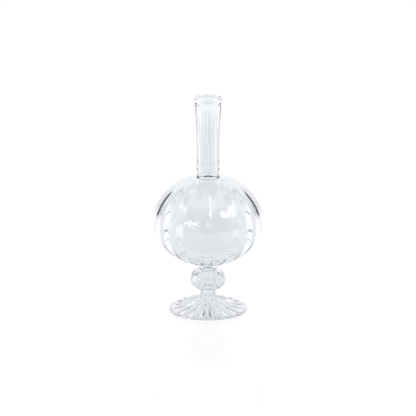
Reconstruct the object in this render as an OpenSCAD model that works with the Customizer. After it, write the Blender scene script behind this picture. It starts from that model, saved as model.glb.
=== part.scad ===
// Blown-glass bud vase. The neck, the round bulb, the small knop and the foot
// are worked from tube with the same number of optic ribs, and short plain
// seals join them. The bulb holds water and its floor is closed. Below it, one
// air passage runs from the stem seal through the hollow knop and the waist down
// through the foot.
// Millimetres. The vase's axis is +Z, and the foot rests on z = 0.

/* [Overall] */
// Height from the resting plane to the top of the lip
total_h = 200; // [192:1:215]
// Ribs round the tube that every ribbed piece is worked from
rib_count = 20; // [12:4:28]

/* [Neck] */
// Outer radius of the neck just under its lip
mouth_r = 12.2; // [11:0.1:14]
// Outer radius of the neck at its lower end
neck_low_r = 10.2; // [9.8:0.1:10.8]
// Wall of the neck at the mouth
neck_wall = 1.8; // [1.6:0.1:2]
// Depth of the furrows between the neck's ribs
neck_rib = 0.35; // [0.1:0.05:0.5]
// Turn of the neck's ribs from its lower end up to the lip, in degrees
neck_twist = -26; // [-40:1:40]
// Outer radius of the throat seal at its narrowest
throat_r = 9.8; // [9.4:0.1:10]
// Radius of the passage through the throat seal
throat_bore_r = 8; // [7.4:0.1:8.2]

/* [Bulb] */
// Outer radius of the bulb at its widest
bulb_r = 50; // [46:0.5:54]
// Half of the bulb's height, if it ran on to its poles
bulb_half_h = 41.6; // [40:0.1:43]
// Height of the bulb's widest section
bulb_z = 85.3; // [85:0.1:87]
// Wall of the bulb at its ribs' crests
bulb_wall = 2.0; // [1.6:0.1:2.4]
// Thickness of the bulb's closed floor
bulb_floor = 3.4; // [3:0.1:5]
// Depth of the furrows between the bulb's ribs
bulb_rib = 0.8; // [0.3:0.05:0.9]

/* [Stem] */
// Outer radius of the short tube that joins the bulb and the knop
seal_r = 7.9; // [7.2:0.1:8.4]
// Radius of the air space in that tube
seal_bore_r = 5.4; // [4.8:0.1:5.8]
// Outer radius of the knop at its widest
knop_r = 16; // [14:0.1:18]
// Half of the knop's height, if it ran on to its poles
knop_half_h = 10.3; // [9.5:0.1:10.6]
// Height of the knop's widest section
knop_z = 29.9; // [29.5:0.1:31]
// Wall of the knop at its ribs' crests
knop_wall = 2.0; // [1.6:0.1:2.4]
// Depth of the furrows between the knop's ribs
knop_rib = 0.5; // [0.2:0.05:0.6]
// Turn of the knop's ribs from its bottom up to its top, in degrees
knop_twist = 24; // [-40:1:40]
// Outer radius of the waist where it meets the knop
waist_top_r = 7.7; // [7.4:0.1:8]
// Outer radius of the waist where it meets the foot
waist_r = 7.2; // [6.8:0.1:7.4]
// Radius of the air passage through the waist and the foot
passage_r = 4.6; // [4:0.1:4.8]

/* [Foot] */
// Radius of the foot at its ribs' crests
foot_r = 35.4; // [33:0.1:38]
// Thickness of the foot at its edge
foot_edge = 3.2; // [2.8:0.1:3.6]
// Height at which the foot's hub meets the waist
hub_z = 15.4; // [15:0.1:16]
// Depth of the furrows between the foot's ribs at the edge
foot_rib = 1.1; // [0.4:0.05:1.2]

/* [Hidden] */

glass = [0.86, 0.89, 0.93, 0.45];
steps_per_rib = 4;
round_fn = 96;
cut = 1;

neck_low_z = 132;
flare_share = 0.5;
flare_from = 0.6;
throat_z = 127.4;
mouth_bore_r = mouth_r - neck_wall;
mouth_bore_len = 6;
lip_r = mouth_r + 0.5;
lip_h = 3.2;
lip_round = 1.5;
plain_h = 6;
shoulder_r = throat_r + 0.7;
knop_fullness = 2.5;
bulb_fullness = 2;
dome_r = 10;
dome_z = 12;
dome_curve = 0.8;
touch_out = 1.6;
touch_in = 4.4;
foot_roof = 2.8;

// 0 on the crest of a rib, and 1 on the middle line of a furrow
function furrow(step) = pow(1 - abs(1 - 2 * (step % steps_per_rib) / steps_per_rib), 2);
// From 0 to 1 as x runs from a to b, level at both ends
function fade(x, a, b) = let (t = min(1, max(0, (x - a) / (b - a)))) t * t * (3 - 2 * t);
// An oval has a radius wide, a half-height tall and a fullness, which is 2 for an
// ellipse and more for a squarer one. This is the height above its middle at radius r.
function oval_rise(wide, tall, full, r) = tall * pow(1 - pow(r / wide, full), 1 / full);
// Angle at which such an oval has the height z above its middle
function oval_angle(tall, full, z) = sign(z) * asin(pow(abs(z) / tall, full / 2));
function oval_point(wide, tall, full, angle) =
    [wide * pow(cos(angle), 2 / full), tall * sign(angle) * pow(abs(sin(angle)), 2 / full)];

bulb_low = bulb_z - oval_rise(bulb_r, bulb_half_h, bulb_fullness, seal_r);
shoulder_z = bulb_z + oval_rise(bulb_r, bulb_half_h, bulb_fullness, shoulder_r);
knop_top = knop_z + oval_rise(knop_r, knop_half_h, knop_fullness, seal_r);
knop_low = knop_z - oval_rise(knop_r, knop_half_h, knop_fullness, waist_top_r);

// A ring is [radius at the crests, height, furrow depth, turn in degrees].
// The solid is closed, and goes through a stack of rings from the lowest up.
module ribbed_solid(rings) {
    around = rib_count * steps_per_rib;
    last = len(rings) - 1;
    points = [for (ring = rings) for (step = [0:around - 1])
        let (r = ring[0] - ring[2] * furrow(step), angle = ring[3] + 360 * step / around)
        [r * cos(angle), r * sin(angle), ring[1]]];
    walls = [for (i = [0:last - 1]) for (k = [0:around - 1])
        let (a = i * around + k, b = i * around + (k + 1) % around)
        each [[a, b + around, b], [a, a + around, b + around]]];
    lower_end = [for (k = [0:around - 1]) k];
    upper_end = [for (k = [around - 1:-1:0]) last * around + k];
    polyhedron(points = points, faces = concat(walls, [lower_end, upper_end]));
}

// A solid of revolution whose outline is a list of [radius, height]
module turned(outline) {
    rotate_extrude($fn = round_fn) polygon(outline);
}

// Rings up an oval whose ends are cut off at the heights low and high
function oval_rings(wide, tall, full, middle, low, high, count, rib, twist) =
    let (a = oval_angle(tall, full, low - middle), b = oval_angle(tall, full, high - middle))
    [for (i = [0:count])
        let (angle = a + (b - a) * i / count, point = oval_point(wide, tall, full, angle))
        [point[0], i == 0 ? low : i == count ? high : middle + point[1],
            rib * cos(angle), twist * i / count]];

// The part of an oval's outline between two heights
function oval_outline(wide, tall, full, middle, low, high, count) =
    [for (ring = oval_rings(wide, tall, full, middle, low, high, count, 0, 0))
        [ring[0], ring[1]]];

module neck() {
    top = total_h - lip_h;
    rows = 11;
    tube = [for (i = [0:rows])
        let (share = i / rows, z = neck_low_z + (top - neck_low_z) * share,
            swell = (1 - flare_share) * share + flare_share * fade(share, flare_from, 1))
        [neck_low_r + (mouth_r - neck_low_r) * swell, z,
            neck_rib * (1 - fade(z, top - plain_h, top)), neck_twist * share]];
    lip = [for (angle = [-50:35:90])
        [lip_r - lip_round + lip_round * cos(angle),
            total_h - lip_round + lip_round * sin(angle), 0, neck_twist]];
    color(glass) difference() {
        ribbed_solid(concat(tube, lip));
        turned([[0, neck_low_z - cut], [throat_bore_r, neck_low_z - cut],
            [throat_bore_r, neck_low_z], [mouth_bore_r, total_h - mouth_bore_len],
            [mouth_bore_r, total_h + cut], [0, total_h + cut]]);
    }
}

module throat_seal() {
    color(glass) turned([[throat_bore_r, shoulder_z], [shoulder_r, shoulder_z],
        [throat_r, throat_z], [neck_low_r, neck_low_z], [throat_bore_r, neck_low_z]]);
}

module bulb() {
    wide = bulb_r - bulb_wall;
    tall = bulb_half_h - bulb_wall;
    ceiling = bulb_z + oval_rise(wide, tall, bulb_fullness, throat_bore_r);
    base = bulb_z - bulb_half_h + bulb_floor;
    color(glass) difference() {
        ribbed_solid(oval_rings(bulb_r, bulb_half_h, bulb_fullness, bulb_z, bulb_low,
            shoulder_z, 22, bulb_rib, 0));
        turned(concat([[0, base]],
            oval_outline(wide, tall, bulb_fullness, bulb_z, base, ceiling, 24),
            [[throat_bore_r, shoulder_z + cut], [0, shoulder_z + cut]]));
    }
}

module stem_seal() {
    color(glass) turned([[seal_bore_r, knop_top], [seal_r, knop_top], [seal_r, bulb_low],
        [seal_bore_r, bulb_low]]);
}

module knop() {
    wide = knop_r - knop_wall;
    tall = knop_half_h - knop_wall;
    drop = oval_rise(wide, tall, knop_fullness, passage_r);
    rise = oval_rise(wide, tall, knop_fullness, seal_bore_r);
    color(glass) difference() {
        ribbed_solid(oval_rings(knop_r, knop_half_h, knop_fullness, knop_z, knop_low, knop_top,
            12, knop_rib, knop_twist));
        turned(concat([[0, knop_low - cut], [passage_r, knop_low - cut]],
            oval_outline(wide, tall, knop_fullness, knop_z, knop_z - drop, knop_z + rise, 14),
            [[seal_bore_r, knop_top + cut], [0, knop_top + cut]]));
    }
}

module waist() {
    color(glass) turned([[passage_r, hub_z], [waist_r, hub_z], [waist_top_r, knop_low],
        [passage_r, knop_low]]);
}

module foot() {
    rows = 9;
    round = foot_edge / 2;
    inset = 0.9;
    low_r = foot_r - touch_in;
    edge = [for (angle = [-60:30:60])
        [foot_r - round + round * cos(angle), round + round * sin(angle), foot_rib, 0]];
    dome = [for (i = [1:rows]) let (share = i / rows)
        [foot_r - inset - (foot_r - inset - dome_r) * share,
            foot_edge + (dome_z - foot_edge) * pow(share, dome_curve),
            foot_rib * (1 - 0.8 * share), 0]];
    hub = [[waist_r + 0.7, (dome_z + hub_z) / 2, 0, 0], [waist_r, hub_z, 0, 0]];
    hollow = [for (i = [0:rows]) let (share = i / rows)
        [low_r - (low_r - passage_r) * share, (dome_z - foot_roof) * pow(share, dome_curve)]];
    color(glass) difference() {
        ribbed_solid(concat([[foot_r - touch_out, 0, foot_rib, 0]], edge, dome, hub));
        turned(concat([[0, -cut], [low_r, -cut]], hollow,
            [[passage_r, hub_z + cut], [0, hub_z + cut]]));
    }
}

neck();
throat_seal();
bulb();
stem_seal();
knop();
waist();
foot();
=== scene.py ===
"""Blown-glass bud vase: the looks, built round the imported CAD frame."""

import math

import bmesh
import bpy
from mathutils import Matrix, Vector


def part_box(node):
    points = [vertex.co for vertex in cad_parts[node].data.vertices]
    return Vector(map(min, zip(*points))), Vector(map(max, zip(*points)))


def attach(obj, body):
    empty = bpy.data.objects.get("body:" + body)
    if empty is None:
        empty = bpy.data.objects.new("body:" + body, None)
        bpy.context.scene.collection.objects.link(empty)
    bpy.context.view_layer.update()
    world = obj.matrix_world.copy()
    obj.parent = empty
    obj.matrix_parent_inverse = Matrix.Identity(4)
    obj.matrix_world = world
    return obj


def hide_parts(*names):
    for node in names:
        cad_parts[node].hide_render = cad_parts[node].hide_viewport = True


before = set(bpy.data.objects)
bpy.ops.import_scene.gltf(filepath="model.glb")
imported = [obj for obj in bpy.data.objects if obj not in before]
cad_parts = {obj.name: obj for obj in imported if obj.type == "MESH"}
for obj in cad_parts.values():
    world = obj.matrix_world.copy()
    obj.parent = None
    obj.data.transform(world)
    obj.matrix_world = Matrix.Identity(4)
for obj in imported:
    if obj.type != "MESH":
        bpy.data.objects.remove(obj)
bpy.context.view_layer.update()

MM = 0.001
RIBS = 20
STEPS_PER_RIB = 16
AROUND = RIBS * STEPS_PER_RIB
SEAM_LAP = 0.02 * MM
SHARP_ANGLE = math.radians(38)

CAMERA_ELEVATION = math.radians(15.5)
CAMERA_DISTANCE = 4.0
CAMERA_AIM_Z = 0.0965
FRAME_WIDTH = 0.3785
SENSOR = 36.0


# Camera ---------------------------------------------------------------------
def make_camera():
    """A long lens, looking along +Y and down, so that the vase hardly tapers."""
    data = bpy.data.cameras.new("camera")
    camera = bpy.data.objects.new("camera", data)
    bpy.context.collection.objects.link(camera)
    back = Vector((0, -math.cos(CAMERA_ELEVATION), math.sin(CAMERA_ELEVATION)))
    camera.location = Vector((0, 0, CAMERA_AIM_Z)) + back * CAMERA_DISTANCE
    camera.rotation_mode = "QUATERNION"
    camera.rotation_quaternion = (-back).to_track_quat("-Z", "Y")
    data.sensor_width = SENSOR
    data.lens = SENSOR * CAMERA_DISTANCE / FRAME_WIDTH
    data.clip_end = 100
    data.dof.use_dof = False
    bpy.context.scene.camera = camera


make_camera()


# Sizes, read from the CAD frame ----------------------------------------------
def width_of(node):
    low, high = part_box(node)
    return high[0] - low[0]


def low_of(node):
    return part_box(node)[0][2]


def high_of(node):
    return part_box(node)[1][2]


TOP_Z = high_of("neck")
NECK_LOW = low_of("neck")
SHOULDER_Z = high_of("bulb")
BULB_LOW = low_of("bulb")
KNOP_TOP = high_of("knop")
KNOP_LOW = low_of("knop")
HUB_Z = low_of("waist")
SEAL_R = width_of("stem_seal") / 2
WAIST_TOP_R = width_of("waist") / 2
BULB_R = width_of("bulb") / 2
KNOP_R = width_of("knop") / 2
FOOT_R = width_of("foot") / 2
SHOULDER_R = width_of("throat_seal") / 2


# Sizes that a box doesn't give. FURROW is a depth, FULL how square an oval is (2 is an ellipse),
# and TURN how far the ribs wind from one end to the other, in degrees.
MOUTH_R = 12.2 * MM
LIP_DEPTH = 3.2 * MM
LIP_FLARE = 0.5 * MM
LIP_ROUND = 1.0 * MM
LIP_ROUND_HIGH = 1.2 * MM
NECK_LOW_R = 10.2 * MM
NECK_WALL = 1.8 * MM
NECK_FURROW = 0.4 * MM
NECK_TURN = -14
THROAT_R = 9.8 * MM
THROAT_Z = 128.2 * MM
THROAT_BORE = 8.8 * MM
BULB_HALF = 41.6 * MM
BULB_MID = 85.3 * MM
BULB_WALL = 2.0 * MM
BULB_FLOOR = 3.4 * MM
BULB_FULL = 2
BULB_FURROW = 1.3 * MM
BULB_INNER_RIPPLE = 0.3 * MM
STEM_DRAWN_IN = 0.1 * MM
STEM_BORE = 5.4 * MM
KNOP_HALF = 10.3 * MM
KNOP_MID = 29.9 * MM
KNOP_WALL = 2.0 * MM
KNOP_FULL = 2.5
KNOP_FURROW = 0.7 * MM
KNOP_TURN = 24
WAIST_R = 7.2 * MM
WAIST_DRAWN_IN = 0.5 * MM
PASSAGE_R = 4.6 * MM
FOOT_EDGE = 3.2 * MM
FOOT_FURROW = 1.6 * MM
FOOT_UNDER_FURROW = 1.2 * MM
FOOT_WALL = 2.8 * MM
FOOT_LAND = 2.5 * MM
DOME_R = 10 * MM
DOME_Z = 12 * MM


# Turned and ribbed glass ------------------------------------------------------
def furrow(share, power):
    """0 on a rib's crest (share 0 or 1) and 1 in the furrow (share 0.5). A high power is sharp."""
    soft = 0.12 / power
    from_furrow = abs(2 * share - 1)
    rounded = math.hypot(from_furrow, soft) - soft
    return max(0.0, 1 - rounded) ** power


def uneven(azimuth):
    """Blown ribs aren't quite even: one of them, right of the front, is wider than the rest."""
    return azimuth - 4.6 * math.exp(-((azimuth - 15) / 15) ** 2)


def turn(name, outline, closed, power):
    """A closed mesh from an outline of (radius, height, furrow depth, turn in degrees).
    The depth is square to the outline. An open outline starts and ends on the axis."""
    mesh = bpy.data.meshes.new(name)
    built = bmesh.new()
    rings = []
    for number, (radius, height, depth, turned) in enumerate(outline):
        if radius < 1e-7:
            rings.append([built.verts.new((0, 0, height))])
            continue
        before, after = outline[number - 1], outline[(number + 1) % len(outline)]
        along = Vector((after[0] - before[0], after[1] - before[1])).normalized()
        ring = []
        for step in range(AROUND):
            cut = depth * furrow((step % STEPS_PER_RIB) / STEPS_PER_RIB, power)
            r, z = radius - cut * along.y, height + cut * along.x
            angle = math.radians(uneven(360 * step / AROUND - 180) + turned - 90)
            ring.append(built.verts.new((r * math.cos(angle), r * math.sin(angle), z)))
        rings.append(ring)
    pairs = list(zip(rings, rings[1:] + rings[:1])) if closed else list(zip(rings, rings[1:]))
    for one, two in pairs:
        for k in range(AROUND):
            n = (k + 1) % AROUND
            if len(one) == 1:
                built.faces.new((one[0], two[k], two[n]))
            elif len(two) == 1:
                built.faces.new((one[k], one[n], two[0]))
            else:
                built.faces.new((one[k], one[n], two[n], two[k]))
    bmesh.ops.recalc_face_normals(built, faces=built.faces)
    built.to_mesh(mesh)
    built.free()
    mesh.shade_smooth()
    mesh.set_sharp_from_angle(angle=SHARP_ANGLE)
    piece = bpy.data.objects.new(name, mesh)
    bpy.context.collection.objects.link(piece)
    return piece


def fade(x, a, b):
    """0 up to a, 1 from b on, and a smooth rise between them."""
    t = min(1.0, max(0.0, (x - a) / (b - a)))
    return t * t * (3 - 2 * t)


def spread(a, b, count):
    """Evenly spaced numbers from a to b, with count steps between them."""
    return [a + (b - a) * i / count for i in range(count + 1)]


def oval_rise(wide, tall, full, r):
    """How far above its middle an oval's outline is, at radius r."""
    return tall * (1 - (r / wide) ** full) ** (1 / full)


def oval(wide, tall, full, middle, start, end, count, depth=0.0, turned=0.0):
    """Part of an upright oval's outline, from height start to height end."""
    def angle(z):
        return math.copysign(math.asin(min(1, (abs(z) / tall) ** (full / 2))), z)
    a, b = angle(start - middle), angle(end - middle)
    points = []
    for i in range(count + 1):
        t = a + (b - a) * i / count
        r = wide * max(0.0, math.cos(t)) ** (2 / full)
        z = middle + tall * math.copysign(abs(math.sin(t)) ** (2 / full), t)
        points.append((r, z, depth * math.cos(t), turned * i / count))
    return points


def neck_radius(share):
    """The neck's outer radius: a slight taper that flares more towards the lip."""
    return NECK_LOW_R + (MOUTH_R - NECK_LOW_R) * (share + fade(share, 0.6, 1)) / 2


def neck_outline():
    """Up the outside, over the lip and down the inside."""
    top = TOP_Z - LIP_DEPTH
    low = NECK_LOW - SEAM_LAP
    outer = []
    for share in spread(0, 1, 60):
        z = low + (top - low) * share
        r = neck_radius(share) + LIP_FLARE * fade(z, top - 5 * MM, top)
        ribbed = (1 - fade(z, top - 4 * MM, top)) * fade(share, -0.02, 0.04)
        outer.append((r, z, NECK_FURROW * ribbed, NECK_TURN * share))
    lip = []
    for a in spread(0, 170, 22):
        r = MOUTH_R + LIP_FLARE - LIP_ROUND * (1 - math.cos(math.radians(a)))
        z = TOP_Z - LIP_ROUND_HIGH * (1 - math.sin(math.radians(a)))
        lip.append((r, z, 0, NECK_TURN))
    inner = []
    for share in spread(1, 0, 60):
        z = low + (top - low) * share
        r = neck_radius(share) - NECK_WALL
        r -= (NECK_LOW_R - NECK_WALL - THROAT_BORE) * (1 - fade(share, 0, 0.2))
        ribbed = (1 - fade(z, top - 4 * MM, top)) * fade(share, 0, 0.1)
        inner.append((r, z, NECK_FURROW / 2 * ribbed, NECK_TURN * share))
    return outer + lip + inner


def throat_outline():
    """A plain collar, narrowest a little above the bulb, round a straight bore."""
    outer = []
    for share in spread(0, 1, 10):
        z = SHOULDER_Z + (THROAT_Z - SHOULDER_Z) * share
        outer.append((THROAT_R + (SHOULDER_R - THROAT_R) * (1 - share) ** 2, z, 0, 0))
    for share in spread(0.1, 1, 12):
        z = THROAT_Z + (NECK_LOW - THROAT_Z) * share
        outer.append((THROAT_R + (NECK_LOW_R - THROAT_R) * share * (2 - share), z, 0, 0))
    inner = [(THROAT_BORE, z, 0, 0) for z in spread(NECK_LOW, SHOULDER_Z, 14)]
    return outer + inner


def bulb_outline():
    """Up the outside, and down the inside to the thicker floor."""
    wide, tall = BULB_R - BULB_WALL, BULB_HALF - BULB_WALL
    floor = BULB_MID - BULB_HALF + BULB_FLOOR
    ceiling = BULB_MID + oval_rise(wide, tall, BULB_FULL, THROAT_BORE)
    top = SHOULDER_Z + SEAM_LAP

    def softened(outline):
        """The ribs fade out at the throat, and are shallower towards the bottom."""
        points = []
        for r, z, depth, turned in outline:
            at_bottom = 1 - fade(z, BULB_LOW, BULB_MID)
            at_throat = fade(z, top - 8 * MM, top - 1 * MM)
            points.append((r, z, depth * (1 - 0.7 * at_bottom) * (1 - at_throat), turned))
        return points
    outer = oval(BULB_R, BULB_HALF, BULB_FULL, BULB_MID, BULB_LOW, top, 100, BULB_FURROW)
    inner = oval(wide, tall, BULB_FULL, BULB_MID, ceiling, floor, 90, -BULB_INNER_RIPPLE)
    rim = [(THROAT_BORE, top, 0, 0)]
    return [(0, BULB_LOW, 0, 0)] + softened(outer) + rim + softened(inner) + [(0, floor, 0, 0)]


def stem_outline():
    """A short tube, drawn in very slightly."""
    low, high = KNOP_TOP - SEAM_LAP, BULB_LOW + SEAM_LAP
    outer = []
    for share in spread(0, 1, 14):
        z = low + (high - low) * share
        outer.append((SEAL_R - STEM_DRAWN_IN * math.sin(math.pi * share), z, 0, 0))
    inner = [(STEM_BORE, z, 0, 0) for z in spread(high, low, 8)]
    return outer + inner


def knop_outline():
    """A hollow bead whose ribs wind round it, open above and below."""
    wide, tall = KNOP_R - KNOP_WALL, KNOP_HALF - KNOP_WALL
    upper = KNOP_MID + oval_rise(wide, tall, KNOP_FULL, STEM_BORE)
    lower = KNOP_MID - oval_rise(wide, tall, KNOP_FULL, PASSAGE_R)
    outer = oval(KNOP_R, KNOP_HALF, KNOP_FULL, KNOP_MID, KNOP_LOW, KNOP_TOP, 50, KNOP_FURROW, KNOP_TURN)
    inner = oval(wide, tall, KNOP_FULL, KNOP_MID, upper, lower, 50, 0, -KNOP_TURN)
    return outer + [(STEM_BORE, KNOP_TOP, 0, KNOP_TURN)] + inner + [(PASSAGE_R, KNOP_LOW, 0, 0)]


def waist_outline():
    """A short tube, drawn in at the middle and wider at the top."""
    low, high = HUB_Z - SEAM_LAP, KNOP_LOW + SEAM_LAP
    outer = []
    for share in spread(0, 1, 24):
        drawn_in = WAIST_DRAWN_IN * math.sin(math.pi * share ** 0.8)
        r = WAIST_R + (WAIST_TOP_R - WAIST_R) * share ** 2 - drawn_in
        outer.append((r, low + (high - low) * share, 0, 0))
    inner = [(PASSAGE_R, z, 0, 0) for z in spread(high, low, 10)]
    return outer + inner


def foot_outline():
    """Round the edge, up the fluted dome to the hub, and down the hollow underside."""
    half = FOOT_EDGE / 2
    nose = half / 2
    edge = []
    for a in spread(-90, 60, 15):
        s, c = math.sin(math.radians(a)), math.cos(math.radians(a))
        edge.append((FOOT_R - nose + nose * c, half + half * s, FOOT_FURROW * c * 0.8, 0))
    top = []
    start_r, start_z = FOOT_R - 0.9 * MM, FOOT_EDGE * 0.96
    for share in spread(0.04, 1, 60):
        r = start_r + (DOME_R - start_r) * share
        z = start_z + (DOME_Z - start_z) * share ** 0.8
        top.append((r, z, FOOT_FURROW * (1 - 0.75 * share), 0))
    hub = []
    for share in spread(0.08, 1, 12):
        r = DOME_R + (WAIST_R - DOME_R) * (1 - (1 - share) ** 2.2)
        z = DOME_Z + (HUB_Z - DOME_Z) * share ** 1.3
        hub.append((r, z, FOOT_FURROW * 0.25 * (1 - share), 0))
    land_r = FOOT_R - FOOT_LAND
    inner = [(PASSAGE_R, HUB_Z, 0, 0)]
    for share in spread(1, 0, 40):
        r = land_r - (land_r - PASSAGE_R) * share
        z = (DOME_Z - FOOT_WALL) * share
        swell = 4 * share * (1 - share)
        inner.append((r, z, FOOT_UNDER_FURROW * swell, 0))
    return edge + top + hub + inner


# Glass ------------------------------------------------------------------------
TINT = (0.985, 0.99, 1.0)
GLASS_IOR = 1.47
RIPPLE_DEPTH = 0.02 * MM
RIPPLES_PER_METRE = 90
RIPPLE_STRETCH = 0.25


def glass(name):
    """Clear glass with a faint cool tint, and ripples that are drawn out along the vase."""
    material = bpy.data.materials.new(name)
    material.use_nodes = True
    nodes, links = material.node_tree.nodes, material.node_tree.links
    shader = nodes["Principled BSDF"]
    shader.inputs["Transmission Weight"].default_value = 1.0
    shader.inputs["IOR"].default_value = GLASS_IOR
    shader.inputs["Roughness"].default_value = 0.0
    shader.inputs["Base Color"].default_value = (*TINT, 1)
    place = nodes.new("ShaderNodeTexCoord")
    stretch = nodes.new("ShaderNodeMapping")
    stretch.inputs["Scale"].default_value = (1, 1, RIPPLE_STRETCH)
    links.new(place.outputs["Object"], stretch.inputs["Vector"])
    noise = nodes.new("ShaderNodeTexNoise")
    noise.inputs["Scale"].default_value = RIPPLES_PER_METRE
    noise.inputs["Detail"].default_value = 2
    links.new(stretch.outputs["Vector"], noise.inputs["Vector"])
    bump = nodes.new("ShaderNodeBump")
    bump.inputs["Strength"].default_value = 1.0
    bump.inputs["Distance"].default_value = RIPPLE_DEPTH
    links.new(noise.outputs["Fac"], bump.inputs["Height"])
    links.new(bump.outputs["Normal"], shader.inputs["Normal"])
    return material


# Each CAD node's outline, whether the outline is a closed loop, and the power of its furrows
PIECES = {
    "neck": (neck_outline, True, 2.0),
    "throat_seal": (throat_outline, True, 2.0),
    "bulb": (bulb_outline, False, 2.0),
    "stem_seal": (stem_outline, True, 2.0),
    "knop": (knop_outline, True, 2.0),
    "waist": (waist_outline, True, 2.0),
    "foot": (foot_outline, True, 2.5),
}
for node, (outline, closed, power) in PIECES.items():
    piece = turn(node + "_glass", outline(), closed, power)
    piece.data.materials.append(glass("glass_" + node))
    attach(piece, "root")
    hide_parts(node)


# Studio -----------------------------------------------------------------------
WHITE = (0.863, 0.878, 0.907)
DARK = 0.12
OVERHEAD = 0.4
TABLE_HALF_WIDTH = 0.64
TABLE_FRONT = -0.44
# Painted brightness of the table, near the vase and behind it, by the distance from its middle line:
# painted pools of light, brighter towards the sides
NEAR_TABLE = [(0, 1.0), (0.052, 1.0), (0.085, 1.38), (0.4, 1.5)]
FAR_TABLE = [(0, 0.97), (0.18, 0.97), (0.45, 1.5)]
# Brightness of the room by the angle from the camera's side (0) round to the backdrop (180)
ROOM = [(0, DARK), (60, DARK), (72, 1.2), (118, 1.3),
        (123, DARK), (147, DARK), (151, 1.1), (180, 1.1)]
# Brightness of the table as the camera itself sees it, close to the vase and further off: a painted
# shade makes it a touch dimmer close to the vase
SEEN_CLOSE = 1.065
SEEN_OFF = 1.1


def grey(level):
    return (level, level, level, 1)


class Tree:
    """A few short ways of adding nodes to a node tree."""

    def __init__(self, tree):
        tree.nodes.clear()
        self.nodes, self.links = tree.nodes, tree.links

    def add(self, kind, **settings):
        node = self.nodes.new(kind)
        for key, value in settings.items():
            setattr(node, key, value)
        return node

    def put(self, value, socket):
        if isinstance(value, bpy.types.NodeSocket):
            self.links.new(value, socket)
        else:
            socket.default_value = value

    def math(self, operation, a, b=0.0):
        node = self.add("ShaderNodeMath", operation=operation)
        self.put(a, node.inputs[0])
        self.put(b, node.inputs[1])
        return node.outputs[0]

    def ramp(self, value, low, high):
        """0 up to low, 1 from high on, and a smooth rise between them."""
        node = self.add("ShaderNodeMapRange", interpolation_type="SMOOTHSTEP")
        self.put(value, node.inputs["Value"])
        node.inputs["From Min"].default_value = low
        node.inputs["From Max"].default_value = high
        return node.outputs["Result"]

    def mix(self, factor, a, b):
        node = self.add("ShaderNodeMix", data_type="RGBA")
        self.put(factor, node.inputs["Factor"])
        self.put(a, node.inputs["A"])
        self.put(b, node.inputs["B"])
        return node.outputs["Result"]

    def levels(self, value, steps, full):
        """A brightness for each value from 0 to full, straight between the steps."""
        node = self.add("ShaderNodeValToRGB")
        self.put(self.math("DIVIDE", value, full), node.inputs["Fac"])
        stops = node.color_ramp.elements
        while len(stops) < len(steps):
            stops.new(0.5)
        for stop, (at, level) in zip(stops, steps):
            stop.position = at / full
            stop.color = grey(level)
        return node.outputs["Color"]

    def room(self, x, y):
        """The room's brightness in the direction of x and y."""
        side = self.math("ABSOLUTE", x)
        angle = self.math("ARCTAN2", side, self.math("MULTIPLY", y, -1))
        return self.levels(angle, [(math.radians(at), level) for at, level in ROOM], math.pi)

    def tinted(self, level):
        """A brightness in the colour of the studio's light."""
        node = self.add("ShaderNodeMix", data_type="RGBA", blend_type="MULTIPLY")
        node.inputs["Factor"].default_value = 1
        self.put(level, node.inputs["A"])
        self.put((*WHITE, 1), node.inputs["B"])
        return node.outputs["Result"]


def painted_table_light(tree, x, y):
    """The floor's brightness in the glass, all painted light: a painted lit table, brighter towards its
    sides and further back, and past its edge the room's own brightness, dark flags and all, painted on
    the floor.
    """
    side = tree.math("ABSOLUTE", x)
    off_side = tree.math("GREATER_THAN", side, TABLE_HALF_WIDTH)
    off_table = tree.math("MAXIMUM", off_side, tree.math("LESS_THAN", y, TABLE_FRONT))
    rise = tree.math("ADD", tree.math("MULTIPLY", tree.ramp(y, 0.2, 0.42), 0.1), 0.95)
    # Painted pools of light: brighter away from the middle line and further back.
    near = tree.math("MULTIPLY", tree.levels(side, NEAR_TABLE, 1), rise)
    beyond = tree.math("ADD", tree.math("MULTIPLY", tree.ramp(y, 0.695, 0.72), 0.3), 1)
    far = tree.math("MULTIPLY", tree.levels(side, FAR_TABLE, 1), beyond)
    table = tree.mix(tree.ramp(y, 0.42, 0.47), near, far)
    return tree.mix(off_table, table, tree.room(x, y))


def seen_level(tree, x, y):
    """The floor's brightness to the camera: a white that has no end, with a painted shade that makes it
    a touch dimmer close to the vase, so that the vase's reflection in the gloss shows.
    """
    squares = tree.math("ADD", tree.math("MULTIPLY", x, x), tree.math("MULTIPLY", y, y))
    away = tree.math("SQRT", squares)
    return tree.mix(tree.ramp(away, 0.1, 0.3), grey(SEEN_CLOSE), grey(SEEN_OFF))


def painted_light_floor():
    """A glossy white that glows by itself, so that the studio's lamp leaves no shadow on it. Its glow
    is painted light: to the glass a painted lit table with the room's dark flags painted past its edge,
    and to the camera a painted white, a touch dimmer close to the vase.
    """
    material = bpy.data.materials.new("painted_light_floor")
    material.use_nodes = True
    tree = Tree(material.node_tree)
    split = tree.add("ShaderNodeSeparateXYZ")
    tree.put(tree.add("ShaderNodeTexCoord").outputs["Object"], split.inputs["Vector"])
    x, y = split.outputs["X"], split.outputs["Y"]
    rays = tree.add("ShaderNodeLightPath")
    # Painted light: the glass sees a painted lit table and painted room, and the camera sees another
    # painted tone.
    in_glass = tree.tinted(painted_table_light(tree, x, y))
    tone = tree.mix(rays.outputs["Is Camera Ray"], in_glass, seen_level(tree, x, y))
    glow = tree.add("ShaderNodeEmission")
    tree.put(tone, glow.inputs["Color"])
    gloss = tree.add("ShaderNodeBsdfGlossy")
    gloss.inputs["Roughness"].default_value = 0.12
    fresnel = tree.add("ShaderNodeFresnel")
    fresnel.inputs["IOR"].default_value = 1.45
    mix = tree.add("ShaderNodeMixShader")
    tree.put(fresnel.outputs["Fac"], mix.inputs["Fac"])
    tree.put(glow.outputs["Emission"], mix.inputs[1])
    tree.put(gloss.outputs["BSDF"], mix.inputs[2])
    tree.put(mix.outputs["Shader"], tree.add("ShaderNodeOutputMaterial").inputs["Surface"])
    return material


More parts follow.
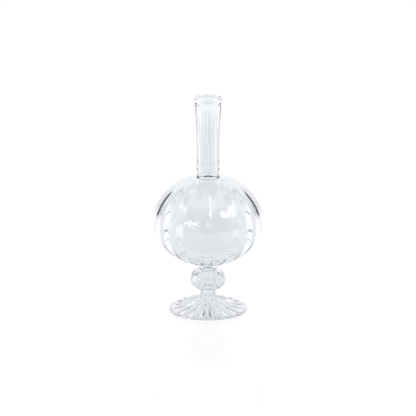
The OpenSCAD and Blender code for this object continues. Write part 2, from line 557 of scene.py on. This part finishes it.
def make_floor():
    """A table top that reaches past everything the camera sees."""
    bpy.ops.mesh.primitive_circle_add(vertices=96, radius=40, fill_type="NGON")
    floor = bpy.context.object
    floor.name = "floor"
    floor.data.materials.append(painted_light_floor())


def make_world():
    """A pale backdrop and sides with black flags between them, and a dark room in front."""
    world = bpy.data.worlds.new("studio")
    bpy.context.scene.world = world
    world.use_nodes = True
    tree = Tree(world.node_tree)
    split = tree.add("ShaderNodeSeparateXYZ")
    tree.put(tree.add("ShaderNodeTexCoord").outputs["Generated"], split.inputs["Vector"])
    x, y, z = split.outputs
    overhead = tree.ramp(z, 0.6, 0.8)
    level = tree.mix(overhead, tree.room(x, y), grey(OVERHEAD))
    rays = tree.add("ShaderNodeLightPath")
    tone = tree.mix(rays.outputs["Is Camera Ray"], tree.tinted(level), grey(1))
    background = tree.add("ShaderNodeBackground")
    output = tree.add("ShaderNodeOutputWorld")
    tree.put(tone, background.inputs["Color"])
    tree.put(background.outputs["Background"], output.inputs["Surface"])


def soft_box(name, place, width, height, brightness):
    """A flat lamp that faces the vase. The camera doesn't see it, and the glass does."""
    data = bpy.data.lights.new(name, "AREA")
    data.shape = "RECTANGLE"
    data.size, data.size_y = width, height
    data.energy = brightness * math.pi * width * height
    data.color = WHITE
    lamp = bpy.data.objects.new(name, data)
    bpy.context.collection.objects.link(lamp)
    lamp.location = place
    lamp.rotation_mode = "QUATERNION"
    lamp.rotation_quaternion = (BULB_CENTRE - Vector(place)).to_track_quat("-Z", "Y")
    lamp.visible_camera = False


def around(azimuth, elevation, distance):
    """A place seen from the bulb's middle. Azimuth 0 is the camera's side and 90 the right."""
    a, e = math.radians(azimuth), math.radians(elevation)
    towards = Vector((math.sin(a) * math.cos(e), -math.cos(a) * math.cos(e), math.sin(e)))
    return BULB_CENTRE + distance * towards


BULB_CENTRE = Vector((0, 0, BULB_MID))
make_floor()
make_world()
soft_box("key", around(47, 36, 0.8), 0.27, 0.22, 8)

scene = bpy.context.scene
scene.view_settings.view_transform = "Standard"
scene.cycles.max_bounces = 32
scene.cycles.transmission_bounces = 32
scene.cycles.glossy_bounces = 16
scene.cycles.use_denoising = True
scene.cycles.caustics_reflective = True
scene.cycles.caustics_refractive = True
